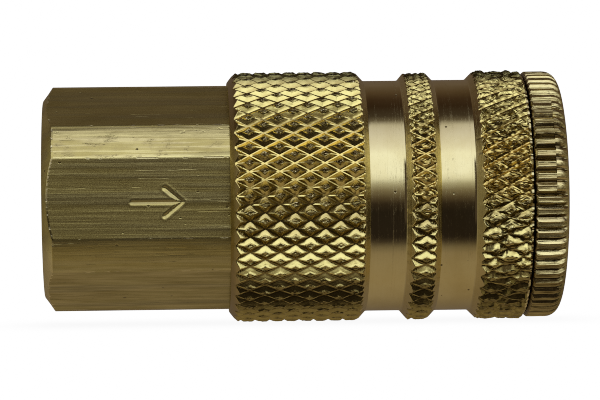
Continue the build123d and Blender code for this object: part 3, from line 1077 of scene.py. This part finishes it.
def make_adapter():
    """Slots: 0 drawn, 1 turned faces, 2 thread."""
    m = Mesher()
    theta_hex, on_corner = hex_angles()
    rows = hex_rows(m, theta_hex, on_corner)
    for a, b in zip(rows, rows[1:]):
        m.join(a, b, 0)
    theta = angles(144, theta_hex[0])
    previous = m.ring(ADAPTER_FRONT_X, 8.45, theta)
    m.stitch(rows[-1], theta_hex, previous, theta, 1)
    for x, r in ADAPTER_BORE:
        ring = m.ring(x, r, theta)
        m.join(previous, ring, 1)
        previous = ring
    # the thread, from its bottom to the mouth
    for x in np.arange(10.9, REAR_X + 0.05, -THREAD_PITCH / 14):
        ring = m.ring(x, thread_radius(x, theta), theta)
        m.join(previous, ring, 2)
        previous = ring
    mouth = m.ring(REAR_X, 7.02, theta)
    m.join(previous, mouth, 1)
    m.stitch(mouth, theta, rows[0], theta_hex, 1)
    return m.build("inlet_adapter_hex", [DRAWN, CHAMFER, INNER], sharp_angle=28)


register(make_adapter(), "socket", "inlet_adapter")

# ------------------------------------------------------------------ balls, springs, turned parts


def ball(name, centre, radius, material):
    """A sphere from a subdivided cube, so that it has no poles."""
    n = 14
    grid = np.tan(np.linspace(-math.pi / 4, math.pi / 4, n + 1))
    verts, faces, index = [], [], {}

    def vertex(p):
        p = p / np.linalg.norm(p)
        key = tuple(np.round(p, 6))
        if key not in index:
            index[key] = len(verts)
            verts.append(p)
        return index[key]

    for axis in range(3):
        for sign in (-1, 1):
            ids = [[0] * (n + 1) for _ in range(n + 1)]
            for i in range(n + 1):
                for j in range(n + 1):
                    p = np.zeros(3)
                    p[axis] = sign
                    p[(axis + 1) % 3] = grid[i]
                    p[(axis + 2) % 3] = grid[j]
                    ids[i][j] = vertex(p)
            for i in range(n):
                for j in range(n):
                    quad = [ids[i][j], ids[i + 1][j], ids[i + 1][j + 1], ids[i][j + 1]]
                    faces.append(quad if sign > 0 else quad[::-1])
    mesh = bpy.data.meshes.new(name)
    mesh.from_pydata(((np.array(verts) * radius + np.array(centre)) * MM).tolist(), [], faces)
    smooth_all(mesh)
    mesh.materials.append(material)
    mesh.update()
    return link_object(name, mesh)


def coil(name, x_rear, x_front, radius, wire, turns):
    """A compression spring of round wire with closed, ground end turns."""
    closed_turns, per_turn, wire_points = 0.8, 72, 16
    n = int(turns * per_turn)
    t = np.linspace(0, turns, n + 1)
    first, last = x_rear + wire / 2, x_front - wire / 2
    lead = wire * 1.01
    pitch = (last - first - 2 * closed_turns * lead) / (turns - 2 * closed_turns)
    open_x = first + lead * closed_turns + pitch * (t - closed_turns)
    x = np.where(t > turns - closed_turns, last - lead * (turns - t), open_x)
    x = np.where(t < closed_turns, first + lead * t, x)
    # ease the changes of pitch with a running mean over 9 samples
    before = x[0] - lead / per_turn * np.arange(4, 0, -1)
    after = x[-1] + lead / per_turn * np.arange(1, 5)
    x = np.convolve(np.concatenate([before, x, after]), np.ones(9) / 9, "valid")
    m = Mesher()
    around = np.linspace(0, TAU, wire_points, endpoint=False)[:, None]
    along = np.array([1.0, 0, 0])
    centres, rings = [], []
    for i in range(n + 1):
        theta = TAU * t[i]
        out = np.array([0, math.cos(theta), math.sin(theta)])
        centre = along * x[i] + out * radius
        points = centre + wire / 2 * (np.cos(around) * out + np.sin(around) * along)
        points[:, 0] = np.clip(points[:, 0], x_rear + 0.02, x_front - 0.02)
        centres.append(centre)
        rings.append(m.add_points(points))
    for a, b in zip(rings, rings[1:]):
        m.join(a, b)
    m.cap(rings[0], centres[0], flip=True)
    m.cap(rings[-1], centres[-1])
    spring = m.build(name, [WIRE], sharp_angle=40)
    return register(spring, "socket", name.removesuffix("_coil"))


def seal_ring(name, x, radius, wire_radius, node):
    """A rubber ring of round section."""
    turns = [TAU * k / 28 for k in range(28)]
    profile = [(x + wire_radius * math.cos(a), radius + wire_radius * math.sin(a)) for a in turns]
    register(lathe(name, profile, [RUBBER], sharp_angle=60), "socket", node)


def turned(name, corners, material, carrier, node, n=128):
    """A ring from corners of (x, r, corner radius)."""
    register(lathe(name, rounded(corners, steps=3), [material], n=n), carrier, node)


def make_poppet():
    corners = [
        (21.2, 0.0, 0), (21.2, 4.2, 0.35), (22.6, 4.2, 0.08), (22.6, 5.5, 0.2),
        (24.0, 5.5, 0.1), (24.0, 3.97, 0.05), (28.9, 3.97, 0.15), (28.9, 2.9, 0.12),
        (24.6, 2.9, 0.3), (24.1, 0.0, 0),
    ]
    poppet = lathe("valve_poppet_turned", rounded(corners), [INNER])
    # two crossed ports, along Y and along Z
    port_x, port_r, reach = 27.2, 1.1, 5.5
    cutters = []
    for i, axis in enumerate("ZY"):
        profile = [(-reach, 0.0), (-reach, port_r), (reach, port_r), (reach, 0.0)]
        cutter = lathe(f"port_{i}", profile, [], n=48)
        place = Matrix.Translation((port_x * MM, 0, 0))
        cutter.matrix_world = place @ Matrix.Rotation(math.pi / 2, 4, axis)
        cutters.append(cutter)
    return boolean_cut(poppet, cutters)


for i, angle in enumerate(BALL_ANGLES, 1):
    centre = (BALLS_X, BALLS_R * math.cos(angle), BALLS_R * math.sin(angle))
    lock_ball = ball(f"lock_ball_{i}_polished", centre, BALL_R, BALL)
    register(lock_ball, f"ball_{i}", f"lock_ball_{i}")

sleeve_spring = coil("sleeve_spring_coil", 18.82, 27.16, radius=9.35, wire=1.0, turns=4.1)
valve_spring = coil("valve_spring_coil", 12.42, 22.58, radius=4.8, wire=0.9, turns=6.6)

turned(
    "sleeve_thrust_washer_flat",
    [(27.18, 8.54, 0.06), (27.18, 10.16, 0.16), (27.78, 10.16, 0.06), (27.78, 8.54, 0.16)],
    WASHER, "thrust_washer", "sleeve_thrust_washer", n=160,
)
seal_ring("plug_seal_ring", x=30.24, radius=5.1, wire_radius=1.29, node="plug_seal")
seal_ring("body_o_ring_seal", x=13.4, radius=7.73, wire_radius=0.5, node="body_o_ring")
turned(
    "seal_washer_flat",
    [(31.57, 4.2, 0.08), (31.57, 6.38, 0.08), (32.19, 6.38, 0.08), (32.19, 4.2, 0.08)],
    INNER, "socket", "seal_washer",
)
turned(
    "valve_seat_bushing_turned",
    [
        (25.42, 5.35, 0.05), (25.42, 6.49, 0.15), (28.88, 6.49, 0.1), (28.88, 4.03, 0.2),
        (25.9, 4.03, 0.05), (25.9, 4.65, 0.05), (25.25, 4.75, 0.08), (25.25, 5.15, 0.08),
    ],
    INNER, "socket", "valve_seat_bushing",
)
turned(
    "valve_seal_disc",
    [(24.01, 3.98, 0.05), (24.01, 5.4, 0.12), (25.19, 5.4, 0.15), (25.19, 3.98, 0.05)],
    RUBBER, "valve", "valve_seal",
)
turned(
    "valve_seal_retainer_ring",
    [(25.2, 3.98, 0.03), (25.2, 4.5, 0.05), (25.6, 4.5, 0.1), (25.6, 3.98, 0.03)],
    INNER, "valve", "valve_seal_retainer",
)
register(make_poppet(), "valve", "valve_poppet")

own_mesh(sleeve_spring)
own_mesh(valve_spring)

# ------------------------------------------------------------------ floor

FLOOR_Z = -0.01142
FLOOR_HALF = 3.0


def floor_white():
    """Glowing white with a soft contact shadow along the coupler."""
    centre_x, core_half, fade_x, fade_y, strength = 0.0233, 0.020, 0.006, 0.0095, 0.06
    k = new_material("floor_white")
    x, y, _ = k.split(k.coords())
    across = k.math("DIVIDE", k.math("ABSOLUTE", y), fade_y)
    beyond = k.minus(k.math("ABSOLUTE", k.minus(x, centre_x)), core_half)
    along = k.math("DIVIDE", k.math("MAXIMUM", beyond, 0.0), fade_x)
    squared = k.plus(k.times(across, across), k.times(along, along))
    shadow = k.math("POWER", 2.71828, k.times(squared, -1.0))
    value = k.minus(1.0, k.times(shadow, strength))
    grey = k.node("CombineColor", Red=value, Green=value, Blue=value).outputs[0]
    return k.finish(k.node("Emission", Color=grey, Strength=1.0))


def make_floor():
    mesh = bpy.data.meshes.new("floor")
    signs = ((-1, -1), (1, -1), (1, 1), (-1, 1))
    corners = [(sx * FLOOR_HALF, sy * FLOOR_HALF, FLOOR_Z) for sx, sy in signs]
    mesh.from_pydata(corners, [], [[0, 1, 2, 3]])
    floor = link_object("floor", mesh)
    mesh.materials.append(floor_white())
    for ray in ("diffuse", "glossy", "transmission", "shadow"):
        setattr(floor, f"visible_{ray}", False)
    return floor


make_floor()

# ------------------------------------------------------------------ world and camera

CAMERA_DISTANCE = 0.290
CAMERA_TURN, CAMERA_ROLL = math.radians(2.70), math.radians(0.67)
TARGET = Vector((0.02335, 0.0, -0.00031))
VIEW = Vector((math.sin(CAMERA_TURN), math.cos(CAMERA_TURN), 0))
LEVEL = Vector((math.cos(CAMERA_TURN), -math.sin(CAMERA_TURN), 0))
ZENITH = Vector((0, 0, 1))
UP = math.cos(CAMERA_ROLL) * ZENITH + math.sin(CAMERA_ROLL) * LEVEL
RIGHT = math.cos(CAMERA_ROLL) * LEVEL - math.sin(CAMERA_ROLL) * ZENITH

# sky from the main viewpoint: (degrees about X: 0 at -Y, 90 up, 180 at +Y; red, green, blue)
MAIN_SKY = [
    (-180, 0.120, 0.088, 0.060), (-138, 0.200, 0.150, 0.098), (-120, 0.255, 0.192, 0.125),
    (-93, 0.285, 0.215, 0.135), (-72, 0.275, 0.210, 0.135), (-60, 0.250, 0.190, 0.125),
    (-53, 0.165, 0.128, 0.085), (-47, 0.050, 0.036, 0.026), (-42, 0.020, 0.014, 0.011),
    (-16, 0.018, 0.013, 0.010), (-8, 0.032, 0.022, 0.016), (-2, 0.090, 0.066, 0.045),
    (5, 0.200, 0.165, 0.120), (11, 0.420, 0.390, 0.330), (17, 0.860, 0.850, 0.830),
    (22, 1.000, 1.000, 1.020), (42, 1.020, 1.020, 1.040), (50, 0.860, 0.830, 0.850),
    (66, 0.680, 0.640, 0.680), (74, 0.560, 0.520, 0.520), (80, 0.130, 0.105, 0.085),
    (86, 0.050, 0.036, 0.027), (100, 0.032, 0.018, 0.011), (112, 0.046, 0.026, 0.016),
    (126, 0.086, 0.055, 0.034), (145, 0.130, 0.094, 0.070), (180, 0.120, 0.088, 0.060),
]
# sky from any other viewpoint, alike on the -Y and +Y sides: the same columns
ROUND_SKY = [
    (-90, 0.300, 0.235, 0.155), (-62, 0.280, 0.215, 0.140), (-48, 0.120, 0.092, 0.064),
    (-38, 0.040, 0.030, 0.022), (-14, 0.036, 0.027, 0.020), (0, 0.150, 0.120, 0.085),
    (10, 0.420, 0.390, 0.330), (18, 0.880, 0.870, 0.850), (24, 1.000, 1.000, 1.000),
    (46, 1.000, 0.990, 1.000), (60, 0.700, 0.670, 0.680), (72, 0.460, 0.420, 0.400),
    (82, 0.200, 0.165, 0.130), (90, 0.150, 0.120, 0.095),
]


def elevation(k, z, toward):
    """Degrees about the X axis, from -180 to 180."""
    return k.times(k.math("ARCTAN2", z, toward), 180 / math.pi)


def sky_ramp(k, degrees, stops):
    ramp = k.node("ValToRGB", k.math("DIVIDE", k.plus(degrees, 180.0), 360.0))
    ramp.color_ramp.interpolation = "LINEAR"
    elements = ramp.color_ramp.elements
    while len(elements) < len(stops):
        elements.new(0.5)
    for element, (stop, *rgb) in zip(elements, stops):
        element.position = (stop + 180.0) / 360.0
        element.color = (*rgb, 1)
    return ramp.outputs[0]


def dot(k, a, b):
    return k.plus(*[k.times(p, q) for p, q in zip(a, b)])


def make_world():
    world = bpy.data.worlds.new("studio")
    bpy.context.scene.world = world
    k = Nodes(world, "ShaderNodeOutputWorld")
    x, y, z = k.split(k.coords("Generated"))
    # 0 from the main viewpoint, 1 from any other: the same direction is compared in the
    # two cameras' frames
    own = k.split(k.coords("Camera"))
    same = dot(k, own, [dot(k, (x, y, z), axis) for axis in (RIGHT, UP, VIEW)])
    away = k.ease(same, over=(0.985, 0.90))

    degrees = elevation(k, z, k.times(y, -1.0))
    sky = sky_ramp(k, degrees, MAIN_SKY)
    # someone stands beside the lens, on its -X side
    someone = k.times(k.ease(x, over=(-0.012, -0.036)), k.ease(x, over=(-0.42, -0.30)))
    someone_middle = 4.0
    height = k.math("ABSOLUTE", k.minus(degrees, someone_middle))
    someone = k.times(someone, k.ease(height, over=(36.0, 26.0)))
    someone_color, ends_color, round_ends = (0.060, 0.043, 0.032), (0.21, 0.175, 0.105), (0.40, 0.35, 0.25)
    sky = k.mix(someone, sky, someone_color)
    sky = k.mix(k.ease(k.math("ABSOLUTE", x), over=(0.78, 0.97)), sky, ends_color)

    round_sky = sky_ramp(k, elevation(k, z, k.math("ABSOLUTE", y)), ROUND_SKY)
    ends = k.ease(k.math("ABSOLUTE", x), over=(0.62, 0.93))
    round_sky = k.mix(ends, round_sky, round_ends)
    sky = k.mix(away, sky, round_sky)
    # the camera itself sees plain white
    light = k.node("Background", Color=sky, Strength=1.0).outputs[0]
    white = k.node("Background", Color=(1, 1, 1, 1), Strength=1.0).outputs[0]
    seen = k.node("LightPath").outputs["Is Camera Ray"]
    k.finish(k.node("MixShader", seen, light, white))


def make_camera():
    data = bpy.data.cameras.new("camera")
    data.sensor_width = 36.0
    data.lens = 190.704
    data.clip_start, data.clip_end = 0.01, 20
    camera = link_object("camera", data)
    place = Matrix((RIGHT, UP, -VIEW)).transposed().to_4x4()
    place.translation = TARGET - CAMERA_DISTANCE * VIEW
    camera.matrix_world = place
    bpy.context.scene.camera = camera


make_world()
make_camera()
scene = bpy.context.scene
scene.view_settings.view_transform = "Standard"
scene.view_settings.look = "None"
scene.cycles.filter_width = 1.0
scene.cycles.use_denoising = False

bpy.context.view_layer.update()
